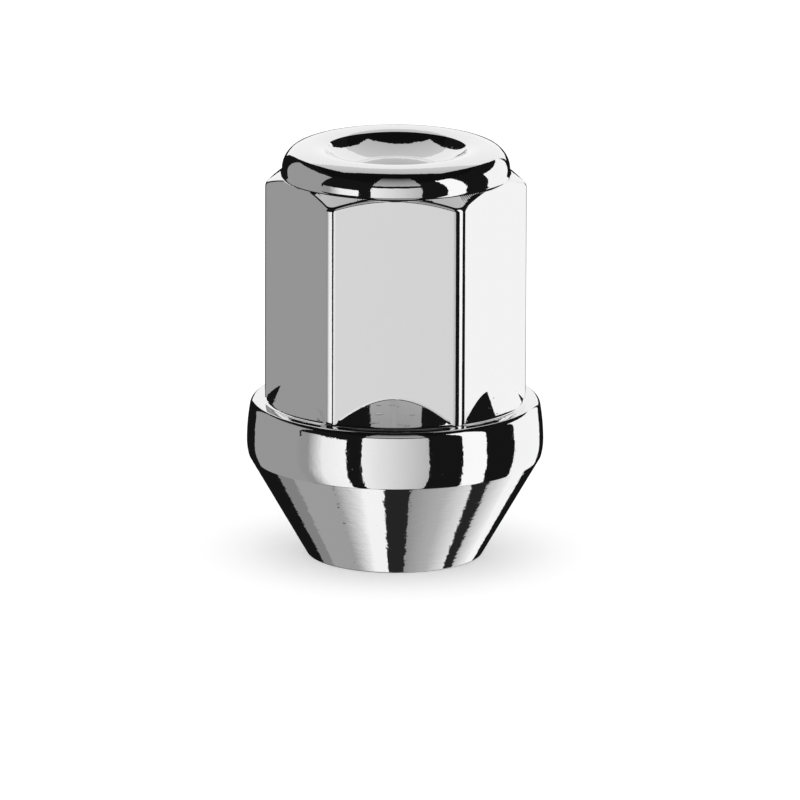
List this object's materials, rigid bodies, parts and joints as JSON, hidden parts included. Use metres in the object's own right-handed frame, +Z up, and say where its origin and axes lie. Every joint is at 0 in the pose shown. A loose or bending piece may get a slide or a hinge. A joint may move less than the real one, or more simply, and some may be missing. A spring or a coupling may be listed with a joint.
{
  "type": "wheel nut",
  "caption": "One-piece plated wheel nut with a closed, dished top, a tall wrench hex, a flange and a sixty degree conical seat.",
  "frame": {"origin": "centre of the seat end face, where the stud goes in", "axes": "+Z up the nut's axis towards its closed top; one flat of the hex faces -Y"},
  "size_m": [0.0246, 0.0244, 0.0345],
  "materials": {
    "chrome_plate": "mirror-bright plate over steel"
  },
  "bodies": {
    "root": {"wheel_nut": "chrome_plate"}
  },
  "joints": []
}
